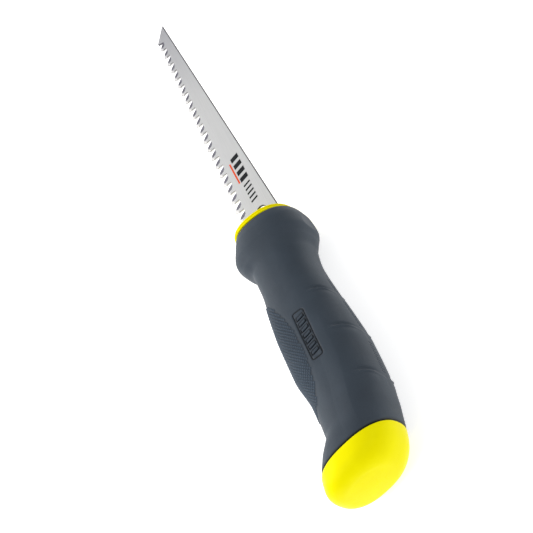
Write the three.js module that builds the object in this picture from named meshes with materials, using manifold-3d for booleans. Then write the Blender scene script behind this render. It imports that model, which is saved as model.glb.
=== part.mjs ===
// Drywall jab saw: a stiff toothed blade whose tang is riveted between two
// moulded core halves, under a soft grip sleeve with a bright cap on the butt.
// Millimetres, +Z up. The saw lies on its side: +X runs to the blade's point,
// +Y is the toothed (finger) side and Z is across the blade's thickness.
// While it is built, x = 0 is the front face of the collar and z = 0 is the
// middle of the blade; the last step moves the origin under the saw's middle.
import * as THREE from 'three';
import { mergeVertices } from 'three/addons/utils/BufferGeometryUtils.js';
import Module from 'manifold-3d';

// ---- driving dimensions --------------------------------------------------
const PITCH = 6.25;               // about four teeth to the inch
const TOOTH_COUNT = 22;
const BLADE_THICKNESS = 1.3;
const POINT_X = 159.6;            // the blade's sharp point
const POINT_Y = 1.7;
const FIRST_TOOTH_X = 145.2;      // the point of the tooth nearest the blade's point
const TIP_LINE = { y: 11.5, slope: 0.0175 };      // the tooth points, y at x = 0
const GULLET_LINE = { y: 6.2, slope: 0.0078 };    // the bottoms of the gaps between teeth
const SPINE_SLOPE = 0.0785;       // how the spine closes on the teeth
const LOCATING_HOLE = { x: 10.4, y: -1.7, radius: 3 };

// One tooth, as steps from its point: the leading flank rises to the gullet
// on +X, and on -X a short top facet meets the square flank.
const GULLET_FRONT = 3.4;
const FLANK_FOOT = { x: 2.0, drop: 1.5 };
const TOP_FACET = { x: -1.3, drop: 1.6 };
const GULLET_REAR = -1.4;
const TIP_CORNER_TEETH = 0.78;    // the blade's front corner, in teeth ahead of the first one
const BEVEL_WIDTH = 1.35;         // ground face on the leading flank
const BEVEL_DEPTH = 0.9;
const BEVEL_OVERRUN = 0.4;

const HEEL_X = 1.5;               // the blade steps in to the tang here
const TANG_LENGTH = 92;           // how far the tang reaches behind the collar
const TANG_FRONT_HALF = 7.5;
const TANG_REAR_HALF = 5;
const TANG_NECK = { x: 0.5, finger: 2, back: 1.5 };   // steps at the collar
const TANG_SHOULDER_X = -6;       // the tang tapers evenly behind here
const RIVET_XS = [-24, -52, -80];
const RIVET_RADIUS = 2.2;
const RIVET_HEAD_RADIUS = 4;
const RIVET_HEAD_DEPTH = 1.2;
const RIVET_HEAD_EDGE = 0.4;      // height of the head's straight rim
const RIVET_HEAD_FLAT = 0.7;      // flat top of the head, as a share of its radius
const RIVET_SEAT_DEPTH = 2.5;     // the seat's depth below the core's surface

const GAP = 0.3;                  // clearance between touching pieces
const COLLAR_DEPTH = 2.6;         // thickness of the bright collar in front of the grip
const COLLAR_FINGER = 15.8;
const COLLAR_BACK = -16.4;
const COLLAR_SIDE = 16.6;
const COLLAR_CHAMFER = 0.8;
const SLEEVE_WALL = 4;
const SLEEVE_ROUNDING = 1.2;      // edge of the sleeve behind the collar
const SEAM_X = -125.3;            // where the sleeve meets the butt cap
const BUTT_X = -138.6;            // end of the butt cap
const BUTT_LEAN = 0.15;           // slant of the butt: the finger side reaches further back
const BUTT_ROUNDING = 8;
const BUTT_ROUNDING_POWER = 2.2;  // a little squarer than a round edge
const BUTT_ROUNDING_STEPS = [0.25, 0.45, 0.65, 0.82, 0.93, 1];
const SPIGOT_X = -131.5;          // end of the core, inside the butt cap
const SPIGOT_INSET = 6;
const SPIGOT_STEP_X = SEAM_X + 4; // the core narrows to its spigot here

// The handle's outline: at each x, how far it reaches to the finger side and
// to the back side of the blade's plane, and to either side of it.
const HANDLE_STATIONS = [
  { x: -2.6, finger: 16.0, back: -18.1, side: 17.0 },
  { x: -8, finger: 18.3, back: -19.5, side: 17.9 },
  { x: -14, finger: 20.7, back: -20.0, side: 18.2 },
  { x: -19, finger: 19.0, back: -17.8, side: 16.6 },
  { x: -24, finger: 15.5, back: -15.4, side: 15.0 },
  { x: -34, finger: 15.6, back: -14.2, side: 14.3 },
  { x: -48, finger: 17.3, back: -15.2, side: 14.8 },
  { x: -64, finger: 18.5, back: -17.1, side: 15.8 },
  { x: -82, finger: 18.6, back: -18.4, side: 16.6 },
  { x: -98, finger: 16.4, back: -17.9, side: 16.6 },
  { x: -112, finger: 16.9, back: -16.2, side: 17.0 },
  { x: -120, finger: 23.0, back: -14.7, side: 17.6 },
  { x: -128, finger: 26.9, back: -12.8, side: 18.2 },
  { x: -138.6, finger: 27.8, back: -8.9, side: 18.2 },
];
const SECTION_POWER = 2.4;        // 2 is an ellipse; more is squarer
const LEAN_START_X = -90;         // the sections begin to slant behind here
const LEAN_FULL_X = -120;

const RING_POINTS = 36;
const INNER_RING_POINTS = 24;
const RING_STEP = 4;
const PIN_SEGMENTS = 20;
const RIVET_SEGMENTS = 16;
const REACH = 40;                 // further than the handle goes in any direction across it
const CUT_OVERRUN = 6;            // how far a bore is cut past the end it opens at

const STEEL = { color: 0xd4d4d4, roughness: 0.35, metalness: 1 };
const RIVET_STEEL = { color: 0xb8bac0, roughness: 0.4, metalness: 1 };
const YELLOW = { color: 0xfaf50a, roughness: 0.4, metalness: 0 };
const DARK_RUBBER = { color: 0x424a52, roughness: 0.8, metalness: 0 };

const wasm = await Module();
wasm.setup();

// ---- solids and booleans -------------------------------------------------
function toSolid(geometry) {
  const bare = geometry.clone();
  bare.deleteAttribute('normal');
  bare.deleteAttribute('uv');
  const merged = mergeVertices(bare, 1e-4);
  return new wasm.Manifold(new wasm.Mesh({
    numProp: 3,
    vertProperties: new Float32Array(merged.attributes.position.array),
    triVerts: new Uint32Array(merged.index.array),
  }));
}

function toGeometry(solid) {
  const mesh = solid.getMesh();
  const geometry = new THREE.BufferGeometry();
  geometry.setAttribute('position', new THREE.BufferAttribute(new Float32Array(mesh.vertProperties), 3));
  geometry.setIndex(new THREE.BufferAttribute(new Uint32Array(mesh.triVerts), 1));
  return geometry;
}

function makeMesh(name, solid, look) {
  const mesh = new THREE.Mesh(toGeometry(solid), new THREE.MeshStandardMaterial(look));
  mesh.geometry.computeVertexNormals();
  mesh.name = name;
  return mesh;
}

function box(x0, x1, y0, y1, z0, z1) {
  const geometry = new THREE.BoxGeometry(x1 - x0, y1 - y0, z1 - z0);
  geometry.translate((x0 + x1) / 2, (y0 + y1) / 2, (z0 + z1) / 2);
  return toSolid(geometry);
}

// A plate with the outline given, from z0 to z1.
function plate(shape, z0, z1) {
  const options = { depth: z1 - z0, bevelEnabled: false, curveSegments: 8 };
  const geometry = new THREE.ExtrudeGeometry(shape, options);
  geometry.translate(0, 0, z0);
  return toSolid(geometry);
}

function pin(x, y, radius, z0, z1) {
  const geometry = new THREE.CylinderGeometry(radius, radius, z1 - z0, PIN_SEGMENTS);
  geometry.rotateX(Math.PI / 2);
  geometry.translate(x, y, (z0 + z1) / 2);
  return toSolid(geometry);
}

// Joins rings of equal point counts into a closed body, rings going to -X.
function loft(rings) {
  const count = rings[0].length;
  const positions = [];
  const triangles = [];
  for (const ring of rings) {
    for (const point of ring) positions.push(point.x, point.y, point.z);
  }
  for (let row = 0; row + 1 < rings.length; row += 1) {
    for (let i = 0; i < count; i += 1) {
      const next = (i + 1) % count;
      const a = row * count + i;
      const b = row * count + next;
      triangles.push(a, a + count, b, b, a + count, b + count);
    }
  }
  for (const [row, flip] of [[0, false], [rings.length - 1, true]]) {
    const centre = positions.length / 3;
    const middle = new THREE.Vector3();
    for (const point of rings[row]) middle.addScaledVector(point, 1 / count);
    positions.push(middle.x, middle.y, middle.z);
    for (let i = 0; i < count; i += 1) {
      const a = row * count + i;
      const b = row * count + ((i + 1) % count);
      triangles.push(centre, flip ? b : a, flip ? a : b);
    }
  }
  const geometry = new THREE.BufferGeometry();
  geometry.setAttribute('position', new THREE.Float32BufferAttribute(positions, 3));
  geometry.setIndex(triangles);
  return toSolid(geometry);
}

// ---- the handle's sections -----------------------------------------------
// Smooth value between stations: cubic pieces that never overshoot.
function slopeAt(key, index) {
  const here = HANDLE_STATIONS[index];
  const before = HANDLE_STATIONS[index - 1];
  const after = HANDLE_STATIONS[index + 1];
  if (!before || !after) return 0;
  const left = (here[key] - before[key]) / (here.x - before.x);
  const right = (after[key] - here[key]) / (after.x - here.x);
  return left * right <= 0 ? 0 : (2 * left * right) / (left + right);
}

function handleValue(key, x) {
  let index = 0;
  while (index < HANDLE_STATIONS.length - 2 && x < HANDLE_STATIONS[index + 1].x) index += 1;
  const start = HANDLE_STATIONS[index];
  const end = HANDLE_STATIONS[index + 1];
  const span = end.x - start.x;
  const t = THREE.MathUtils.clamp((x - start.x) / span, 0, 1);
  const ease = t * t * (3 - 2 * t);
  const rise = span * slopeAt(key, index) * t * (1 - t) * (1 - t);
  const fall = span * slopeAt(key, index + 1) * t * t * (1 - t);
  return start[key] * (1 - ease) + end[key] * ease + rise - fall;
}

function ovalRing(x, finger, back, side, lean, count) {
  const middle = (finger + back) / 2;
  const half = (finger - back) / 2;
  const ring = [];
  for (let i = 0; i < count; i += 1) {
    const angle = (2 * Math.PI * i) / count;
    const across = Math.sign(Math.cos(angle)) * Math.abs(Math.cos(angle)) ** (2 / SECTION_POWER);
    const up = Math.sign(Math.sin(angle)) * Math.abs(Math.sin(angle)) ** (2 / SECTION_POWER);
    ring.push(new THREE.Vector3(x - lean * half * across, middle + half * across, side * up));
  }
  return ring;
}

function handleRing(x, inset, count) {
  const lean = BUTT_LEAN * THREE.MathUtils.clamp((LEAN_START_X - x) / (LEAN_START_X - LEAN_FULL_X), 0, 1);
  const finger = handleValue('finger', x) - inset;
  const back = handleValue('back', x) + inset;
  return ovalRing(x, finger, back, handleValue('side', x) - inset, lean, count);
}

// Rings from x0 back to x1, with the ones between at whole multiples of `step`,
// so that two lofts with the same step have their facets in the same places.
function handleRings(x0, x1, step, insetAt, count) {
  const xs = [x0];
  for (let x = Math.ceil(x0 / step) * step - step; x > x1 + 0.4; x -= step) {
    if (x < x0 - 0.4) xs.push(x);
  }
  xs.push(x1);
  return xs.map((x) => handleRing(x, insetAt(x), count));
}

// How far a rounded edge of the given radius has drawn in at `depth` from the
// end. A power of 2 is a round edge and more is squarer.
function roundedInset(radius, depth, power) {
  const e = THREE.MathUtils.clamp(1 - depth / radius, 0, 1);
  return radius * (1 - (1 - e ** power) ** (1 / power));
}

// ---- blade ---------------------------------------------------------------
function lineY(line, x) {
  return line.y - line.slope * x;
}

function toothPointX(index) {
  return FIRST_TOOTH_X - index * PITCH;
}

function spineY(x) {
  return POINT_Y - (POINT_X - x) * SPINE_SLOPE;
}

// The tang from its finger-side front corner round to its back-side front corner.
function addTang(shape, grow) {
  const end = -TANG_LENGTH - grow;
  const front = TANG_FRONT_HALF + grow;
  const rear = TANG_REAR_HALF + grow;
  shape.lineTo(TANG_NECK.x, front - TANG_NECK.finger);
  shape.lineTo(TANG_SHOULDER_X, front - 1);
  shape.lineTo(end + rear, rear - 0.5);
  shape.absarc(end + rear, -0.5, rear, Math.PI / 2, (3 * Math.PI) / 2, false);
  shape.lineTo(TANG_SHOULDER_X, -front - 1);
  shape.lineTo(TANG_NECK.x, -front - TANG_NECK.back);
}

function bladeShape() {
  const shape = new THREE.Shape();
  const cornerX = toothPointX(-TIP_CORNER_TEETH);
  shape.moveTo(POINT_X, POINT_Y);
  shape.lineTo(cornerX, lineY(TIP_LINE, cornerX));
  for (let i = 0; i < TOOTH_COUNT; i += 1) {
    const x = toothPointX(i);
    const tipY = lineY(TIP_LINE, x);
    const gulletY = lineY(GULLET_LINE, x);
    if (i > 0) shape.lineTo(x + PITCH + GULLET_REAR, gulletY);
    shape.lineTo(x + GULLET_FRONT, gulletY);
    shape.lineTo(x + FLANK_FOOT.x, tipY - FLANK_FOOT.drop);
    shape.lineTo(x, tipY);
    shape.lineTo(x + TOP_FACET.x, tipY - TOP_FACET.drop);
  }
  const heelY = lineY(GULLET_LINE, 0);
  shape.lineTo(toothPointX(TOOTH_COUNT - 1) + GULLET_REAR, heelY);
  shape.lineTo(HEEL_X, heelY);
  addTang(shape, 0);
  shape.lineTo(HEEL_X, spineY(HEEL_X));
  shape.closePath();
  return shape;
}

// Ground face on the leading flank of one tooth, as a wedge to cut away. The
// wedge's section is drawn across the flank and then laid along it.
function toothWedge(index) {
  const x = toothPointX(index);
  const foot = new THREE.Vector3(x + FLANK_FOOT.x, lineY(TIP_LINE, x) - FLANK_FOOT.drop, 0);
  const head = new THREE.Vector3(x + GULLET_FRONT, lineY(GULLET_LINE, x), 0);
  const along = foot.clone().sub(head).normalize();
  const inward = new THREE.Vector3(-along.y, along.x, 0);
  const top = BLADE_THICKNESS / 2;
  const section = new THREE.Shape();
  section.moveTo(-1, top - BEVEL_DEPTH);
  section.lineTo(BEVEL_WIDTH, top + 0.3);
  section.lineTo(-1, top + 0.5);
  section.closePath();
  const length = head.distanceTo(foot) + 2 * BEVEL_OVERRUN;
  const geometry = new THREE.ExtrudeGeometry(section, { depth: length, bevelEnabled: false });
  const matrix = new THREE.Matrix4().makeBasis(inward, new THREE.Vector3(0, 0, 1), along);
  matrix.setPosition(head.addScaledVector(along, -BEVEL_OVERRUN));
  geometry.applyMatrix4(matrix);
  return toSolid(geometry);
}

function makeBlade() {
  const half = BLADE_THICKNESS / 2;
  let solid = plate(bladeShape(), -half, half);
  solid = solid.subtract(pin(LOCATING_HOLE.x, LOCATING_HOLE.y, LOCATING_HOLE.radius, -REACH, REACH));
  for (const x of RIVET_XS) {
    solid = solid.subtract(pin(x, 0, RIVET_RADIUS + GAP, -REACH, REACH));
  }
  for (let i = 0; i < TOOTH_COUNT; i += 1) {
    solid = solid.subtract(toothWedge(i));
  }
  return makeMesh('blade', solid, STEEL);
}

// ---- core halves ---------------------------------------------------------
function coreInset(x) {
  return x > SPIGOT_STEP_X ? SLEEVE_WALL + GAP : SPIGOT_INSET;
}

function coreBody() {
  const body = loft(handleRings(-COLLAR_DEPTH + 0.5, SPIGOT_X, RING_STEP, coreInset, INNER_RING_POINTS));
  const collarRings = [];
  for (const [x, inset] of [[0, COLLAR_CHAMFER], [-COLLAR_CHAMFER, 0], [-COLLAR_DEPTH, 0]]) {
    const finger = COLLAR_FINGER - inset;
    const back = COLLAR_BACK + inset;
    collarRings.push(ovalRing(x, finger, back, COLLAR_SIDE - inset, 0, RING_POINTS));
  }
  return body.add(loft(collarRings));
}

function tangPocket() {
  const depth = BLADE_THICKNESS / 2 + GAP;
  const shape = new THREE.Shape();
  shape.moveTo(HEEL_X, TANG_FRONT_HALF + GAP);
  addTang(shape, GAP);
  shape.lineTo(HEEL_X, spineY(0) - GAP);
  shape.closePath();
  const slot = box(-COLLAR_DEPTH - 1, 1, spineY(0) - GAP, lineY(GULLET_LINE, 0) + GAP, -depth, depth);
  return plate(shape, -depth, depth).add(slot);
}

function rivetSeatZ(x) {
  return handleValue('side', x) - SLEEVE_WALL - GAP - RIVET_SEAT_DEPTH;
}

function makeCoreHalf(name, up) {
  const keep = up > 0
    ? box(BUTT_X, REACH, -REACH, REACH, GAP / 2, REACH)
    : box(BUTT_X, REACH, -REACH, REACH, -REACH, -GAP / 2);
  let solid = coreBody().intersect(keep).subtract(tangPocket());
  for (const x of RIVET_XS) {
    const seat = rivetSeatZ(x);
    solid = solid.subtract(pin(x, 0, RIVET_RADIUS + GAP, -REACH, REACH));
    const counterbore = up > 0
      ? pin(x, 0, RIVET_HEAD_RADIUS + GAP, seat, REACH)
      : pin(x, 0, RIVET_HEAD_RADIUS + GAP, -REACH, -seat);
    solid = solid.subtract(counterbore);
  }
  return makeMesh(name, solid, YELLOW);
}

function makeRivet(index) {
  const x = RIVET_XS[index];
  const seat = rivetSeatZ(x) + GAP;
  const top = seat + RIVET_HEAD_DEPTH;
  const flat = RIVET_HEAD_RADIUS * RIVET_HEAD_FLAT;
  const profile = [
    [0, -top], [flat, -top], [RIVET_HEAD_RADIUS, -seat - RIVET_HEAD_EDGE],
    [RIVET_HEAD_RADIUS, -seat], [RIVET_RADIUS, -seat], [RIVET_RADIUS, seat],
    [RIVET_HEAD_RADIUS, seat], [RIVET_HEAD_RADIUS, seat + RIVET_HEAD_EDGE],
    [flat, top], [0, top],
  ].map(([radius, z]) => new THREE.Vector2(radius, z));
  const geometry = new THREE.LatheGeometry(profile, RIVET_SEGMENTS);
  geometry.rotateX(Math.PI / 2);
  geometry.translate(x, 0, 0);
  return makeMesh(`tang_rivet_${index + 1}`, toSolid(geometry), RIVET_STEEL);
}

// ---- grip sleeve and butt cap --------------------------------------------
function makeSleeve() {
  const front = -COLLAR_DEPTH - GAP;
  const edgeInset = (x) => roundedInset(SLEEVE_ROUNDING, front - x, 2);
  const outer = loft(handleRings(front, SEAM_X, RING_STEP, edgeInset, RING_POINTS));
  const wall = () => SLEEVE_WALL;
  const bore = loft(handleRings(0, SEAM_X - CUT_OVERRUN, RING_STEP, wall, INNER_RING_POINTS));
  return makeMesh('grip_sleeve', outer.subtract(bore), DARK_RUBBER);
}

function makeButtCap() {
  const front = SEAM_X - GAP;
  const endInset = (x) => roundedInset(BUTT_ROUNDING, x - BUTT_X, BUTT_ROUNDING_POWER);
  const rings = handleRings(front, BUTT_X + BUTT_ROUNDING, RING_STEP, () => 0, RING_POINTS);
  for (const turn of BUTT_ROUNDING_STEPS) {
    const x = BUTT_X + BUTT_ROUNDING * (1 - Math.sin((turn * Math.PI) / 2));
    rings.push(handleRing(x, endInset(x), RING_POINTS));
  }
  const inset = () => SPIGOT_INSET - GAP;
  const mouth = front + CUT_OVERRUN;
  const socket = loft(handleRings(mouth, SPIGOT_X - GAP, RING_STEP, inset, INNER_RING_POINTS));
  return makeMesh('butt_cap', loft(rings).subtract(socket), YELLOW);
}

// ---- assembly ------------------------------------------------------------
const saw = new THREE.Group();
saw.name = 'drywall_saw';
saw.add(makeBlade());
saw.add(makeCoreHalf('core_half_upper', 1));
saw.add(makeCoreHalf('core_half_lower', -1));
RIVET_XS.forEach((x, index) => saw.add(makeRivet(index)));
saw.add(makeSleeve());
saw.add(makeButtCap());

const bounds = new THREE.Box3().setFromObject(saw);
const middle = bounds.getCenter(new THREE.Vector3());
for (const mesh of saw.children) {
  mesh.position.set(-middle.x, -middle.y, -bounds.min.z);
}

export default saw;
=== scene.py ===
import math

import bmesh
import bpy
import numpy as np
from mathutils import Matrix, Quaternion, Vector


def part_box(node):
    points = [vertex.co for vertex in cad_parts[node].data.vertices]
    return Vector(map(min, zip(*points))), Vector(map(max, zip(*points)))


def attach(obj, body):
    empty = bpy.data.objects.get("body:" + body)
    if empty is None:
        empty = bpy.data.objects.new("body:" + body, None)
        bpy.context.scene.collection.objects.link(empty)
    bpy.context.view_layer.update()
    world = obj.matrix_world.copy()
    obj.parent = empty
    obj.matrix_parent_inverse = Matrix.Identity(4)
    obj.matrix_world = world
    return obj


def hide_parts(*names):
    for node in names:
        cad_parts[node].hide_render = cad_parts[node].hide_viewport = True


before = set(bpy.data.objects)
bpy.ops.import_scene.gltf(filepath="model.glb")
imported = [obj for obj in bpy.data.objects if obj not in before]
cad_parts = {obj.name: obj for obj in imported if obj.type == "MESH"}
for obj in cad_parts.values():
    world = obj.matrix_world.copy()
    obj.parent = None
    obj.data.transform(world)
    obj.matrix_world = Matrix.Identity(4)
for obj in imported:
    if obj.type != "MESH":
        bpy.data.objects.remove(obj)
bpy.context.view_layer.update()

# A drywall jab saw, lying on its side. Shapes are worked out in millimetres
# from the collar's front face (x = 0) and the middle of the blade (z = 0):
# +x to the blade's point, +y to the toothed (finger) side, +z up. at() turns
# such a point into metres in the CAD frame.
MM = 0.001

# ---- sizes shared with the solid model --------------------------------------
PITCH = 6.25
TOOTH_COUNT = 22
BLADE_THICKNESS = 1.3
POINT = (159.6, 1.7)
FIRST_TOOTH_X = 145.2
TIP_CORNER_TEETH = 0.78           # the front corner, in teeth ahead of the first one
TIP_LINE = (11.5, 0.0175)
GULLET_LINE = (6.2, 0.0078)
SPINE_SLOPE = 0.0785
HEEL_X = 1.5
TANG_LENGTH = 92.0
TANG_FRONT_HALF = 7.5
TANG_REAR_HALF = 5.0
TANG_NECK = {"x": 0.5, "finger": 2.0, "back": 1.5}    # steps at the collar
TANG_SHOULDER_X = -6.0
RIVET_XS = (-24.0, -52.0, -80.0)
RIVET_RADIUS = 2.2
LOCATING_HOLE = (10.4, -1.7, 3.0)

GAP = 0.3
COLLAR_DEPTH = 2.6
COLLAR = {"finger": 15.8, "back": -16.4, "side": 16.6}
SLEEVE_WALL = 4.0
SEAM_X = -125.3
BUTT_X = -138.6
BUTT_LEAN = 0.15
BUTT_ROUNDING = 8.0
BUTT_ROUNDING_POWER = 2.2
SPIGOT_X = -131.5
SPIGOT_INSET = 6.0
LEAN_START_X = -90.0
LEAN_FULL_X = -120.0
SECTION_POWER = 2.4

# x, reach to the finger side, reach to the back side, reach to either side
HANDLE_STATIONS = np.array([
    (-2.6, 16.0, -18.1, 17.0),
    (-8.0, 18.3, -19.5, 17.9),
    (-14.0, 20.7, -20.0, 18.2),
    (-19.0, 19.0, -17.8, 16.6),
    (-24.0, 15.5, -15.4, 15.0),
    (-34.0, 15.6, -14.2, 14.3),
    (-48.0, 17.3, -15.2, 14.8),
    (-64.0, 18.5, -17.1, 15.8),
    (-82.0, 18.6, -18.4, 16.6),
    (-98.0, 16.4, -17.9, 16.6),
    (-112.0, 16.9, -16.2, 17.0),
    (-120.0, 23.0, -14.7, 17.6),
    (-128.0, 26.9, -12.8, 18.2),
    (-138.6, 27.8, -8.9, 18.2),
])

blade_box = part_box("blade")
cap_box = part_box("butt_cap")
sleeve_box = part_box("grip_sleeve")
ORIGIN = Vector((
    blade_box[1].x - POINT[0] * MM,
    cap_box[1].y - HANDLE_STATIONS[:, 1].max() * MM,
    (blade_box[0].z + blade_box[1].z) / 2,
))


def at(x, y, z):
    """A point given in millimetres, as metres in the CAD frame."""
    return ORIGIN + Vector((x, y, z)) * MM


# ---- the handle's outline ----------------------------------------------------
def station_slopes(values):
    """Slopes that join the stations smoothly and never overshoot."""
    steps = np.diff(values) / np.diff(HANDLE_STATIONS[:, 0])
    slopes = np.zeros(len(values))
    for i in range(1, len(values) - 1):
        left, right = steps[i - 1], steps[i]
        if left * right > 0:
            slopes[i] = 2 * left * right / (left + right)
    return slopes


def handle_value(column, x):
    """The outline's reach at x, from the stations' given column."""
    xs = HANDLE_STATIONS[:, 0]
    values = HANDLE_STATIONS[:, column]
    slopes = station_slopes(values)
    i = int(np.clip(np.searchsorted(-xs, -x) - 1, 0, len(xs) - 2))
    span = xs[i + 1] - xs[i]
    t = np.clip((x - xs[i]) / span, 0, 1)
    ease = t * t * (3 - 2 * t)
    rise = span * slopes[i] * t * (1 - t) ** 2
    fall = span * slopes[i + 1] * t * t * (1 - t)
    return values[i] * (1 - ease) + values[i + 1] * ease + rise - fall


def oval(x, reach, lean, angles):
    """Points of an oval section at x, as rows of x, y, z. The angle is 0 on
    the finger side, 90 on top and 180 on the back."""
    middle = (reach["finger"] + reach["back"]) / 2
    half = (reach["finger"] - reach["back"]) / 2
    across, up = np.cos(angles), np.sin(angles)
    across = np.sign(across) * np.abs(across) ** (2 / SECTION_POWER)
    up = np.sign(up) * np.abs(up) ** (2 / SECTION_POWER)
    return np.stack([x - lean * half * across, middle + half * across, reach["side"] * up], axis=-1)


def handle_lean(x):
    return BUTT_LEAN * float(np.clip((LEAN_START_X - x) / (LEAN_START_X - LEAN_FULL_X), 0, 1))


def handle_section(x, inset, angles):
    reach = {
        "finger": handle_value(1, x) - inset,
        "back": handle_value(2, x) + inset,
        "side": handle_value(3, x) - inset,
    }
    return oval(x, reach, handle_lean(x), angles)


def even_angles(x, count, crowd=0.0):
    """Angles that space points evenly round the section at x, crowded a
    little where the top and bottom label faces are."""
    dense = np.linspace(0, 2 * np.pi, 1441)
    points = handle_section(x, 0, dense)
    gaps = np.linalg.norm(np.diff(points, axis=0), axis=1)
    middle = (points[1:] + points[:-1]) / 2
    weight = 1 + crowd * np.exp(-((middle[:, 1] / 6) ** 4))
    run = np.concatenate([[0], np.cumsum(gaps * weight)])
    return np.interp(np.arange(count) / count * run[-1], run, dense)


# ---- mesh helpers -------------------------------------------------------------
def make_object(name, vertices, faces, materials, material_index=None, smooth=True):
    """A finished object from points in millimetres."""
    mesh = bpy.data.meshes.new(name)
    mesh.from_pydata([at(*v) for v in vertices], [], faces)
    obj = bpy.data.objects.new(name, mesh)
    bpy.context.scene.collection.objects.link(obj)
    for material in materials:
        mesh.materials.append(material)
    if material_index is not None:
        mesh.polygons.foreach_set("material_index", material_index)
    mesh.polygons.foreach_set("use_smooth", [smooth] * len(mesh.polygons))
    mesh.update()
    return obj


def face_outwards(obj):
    bm = bmesh.new()
    bm.from_mesh(obj.data)
    bmesh.ops.remove_doubles(bm, verts=bm.verts, dist=1e-7)
    bmesh.ops.recalc_face_normals(bm, faces=bm.faces)
    bm.to_mesh(obj.data)
    bm.free()
    obj.data.update()


def ring_faces(ring_count, size, close_rings=False):
    """Quads that join rings of `size` points each, one after the other."""
    faces = []
    last = ring_count if close_rings else ring_count - 1
    for row in range(last):
        here, there = row * size, ((row + 1) % ring_count) * size
        for i in range(size):
            j = (i + 1) % size
            faces.append((here + i, here + j, there + j, there + i))
    return faces


def soften_by_angle(obj, degrees):
    """Smooth shading, with a crisp edge where faces meet more sharply."""
    bm = bmesh.new()
    bm.from_mesh(obj.data)
    for edge in bm.edges:
        if len(edge.link_faces) == 2:
            edge.smooth = edge.calc_face_angle(0) < math.radians(degrees)
    bm.to_mesh(obj.data)
    bm.free()


# ---- materials ----------------------------------------------------------------
class Nodes:
    """A short way to write a material's node tree."""

    def __init__(self, name):
        self.material = bpy.data.materials.new(name)
        self.material.use_nodes = True
        self.tree = self.material.node_tree
        self.shader = self.tree.nodes["Principled BSDF"]

    def add(self, kind, inputs=None, **settings):
        node = self.tree.nodes.new(kind)
        for key, value in settings.items():
            setattr(node, key, value)
        for key, value in (inputs or {}).items():
            self.put(node.inputs[key], value)
        return node

    def put(self, socket, value):
        if isinstance(value, bpy.types.NodeSocket):
            self.tree.links.new(value, socket)
        else:
            socket.default_value = value

    def set(self, **values):
        for key, value in values.items():
            self.put(self.shader.inputs[key.replace("_", " ")], value)

    def place(self):
        return self.add("ShaderNodeTexCoord").outputs["Object"]

    def position(self, scale=(1, 1, 1)):
        mapping = self.add("ShaderNodeMapping", {"Vector": self.place(), "Scale": scale})
        return mapping.outputs["Vector"]

    def noise(self, vector, scale, detail=3.0, roughness=0.5):
        node = self.add(
            "ShaderNodeTexNoise",
            {"Vector": vector, "Scale": scale, "Detail": detail, "Roughness": roughness},
        )
        return node.outputs["Fac"]

    def remap(self, value, low, high, to_low, to_high):
        node = self.add(
            "ShaderNodeMapRange",
            {"Value": value, "From Min": low, "From Max": high, "To Min": to_low, "To Max": to_high},
        )
        return node.outputs["Result"]

    def blend(self, factor, first, second):
        node = self.add("ShaderNodeMix", data_type="RGBA")
        self.put(node.inputs[0], factor)
        self.put(node.inputs[6], first)
        self.put(node.inputs[7], second)
        return node.outputs[2]

    def bump(self, height, strength, distance, base=None):
        node = self.add("ShaderNodeBump", {"Height": height, "Strength": strength, "Distance": distance})
        if base is not None:
            self.put(node.inputs["Normal"], base)
        return node.outputs["Normal"]


RUBBER_DEEP = (0.027, 0.039, 0.055)
RUBBER_PALE = (0.035, 0.050, 0.069)
# Painted shade: the dark that the rubber is blended towards in engraved lines, round the panel's studs and at
# the sleeve's ends.
RUBBER_PAINTED_SHADE = (0.006, 0.008, 0.011)
YELLOW_DEEP = (0.93, 0.84, 0.001)
YELLOW_PALE = (0.97, 0.89, 0.002)
HARDENED_TINT = (0.74, 0.74, 0.78)
HARDENED_REACH = (0.085, 0.15)    # metres along the saw over which the tint comes in


def grip_rubber(name, painted_light):
    """Soft dark moulded rubber: fine spark-eroded grain, faint mottling, and painted shade where the mesh's
    attribute asks for it. A brightening factor above 1 paints light onto the panel's studs."""
    n = Nodes(name)
    grain = n.noise(n.position(), 2600, 2, 0.6)
    cloud = n.noise(n.position(), 55, 4, 0.55)
    deep, pale = (tuple(c * painted_light for c in tone) for tone in (RUBBER_DEEP, RUBBER_PALE))
    colour = n.blend(n.remap(cloud, 0.3, 0.7, 0, 1), (*deep, 1), (*pale, 1))
    # Painted shade: the mesh's own attribute darkens the rubber in its grooves, round the panel's studs and
    # at its ends.
    painted_shade = n.add("ShaderNodeAttribute", attribute_name="painted_shade").outputs["Fac"]
    colour = n.blend(painted_shade, colour, (*RUBBER_PAINTED_SHADE, 1))
    n.set(Base_Color=colour, Roughness=n.remap(grain, 0.3, 0.7, 0.5, 0.62))
    n.set(Normal=n.bump(grain, 0.35, 0.0001, n.bump(cloud, 0.25, 0.0006)))
    n.set(Specular_IOR_Level=0.35)
    return n.material


def yellow_plastic():
    """Hard glossy moulded plastic with a slight flow ripple."""
    n = Nodes("yellow_plastic")
    ripple = n.noise(n.position((1, 1, 1.6)), 90, 3, 0.5)
    fine = n.noise(n.position(), 1900, 2, 0.5)
    colour = n.blend(n.remap(ripple, 0.3, 0.7, 0, 1), (*YELLOW_DEEP, 1), (*YELLOW_PALE, 1))
    n.set(Base_Color=colour, Roughness=n.remap(fine, 0.3, 0.7, 0.26, 0.36))
    n.set(Normal=n.bump(fine, 0.12, 0.00006, n.bump(ripple, 0.2, 0.0005)))
    n.set(Specular_IOR_Level=0.05, Specular_Tint=(1, 0.95, 0.35, 1))
    return n.material


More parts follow.
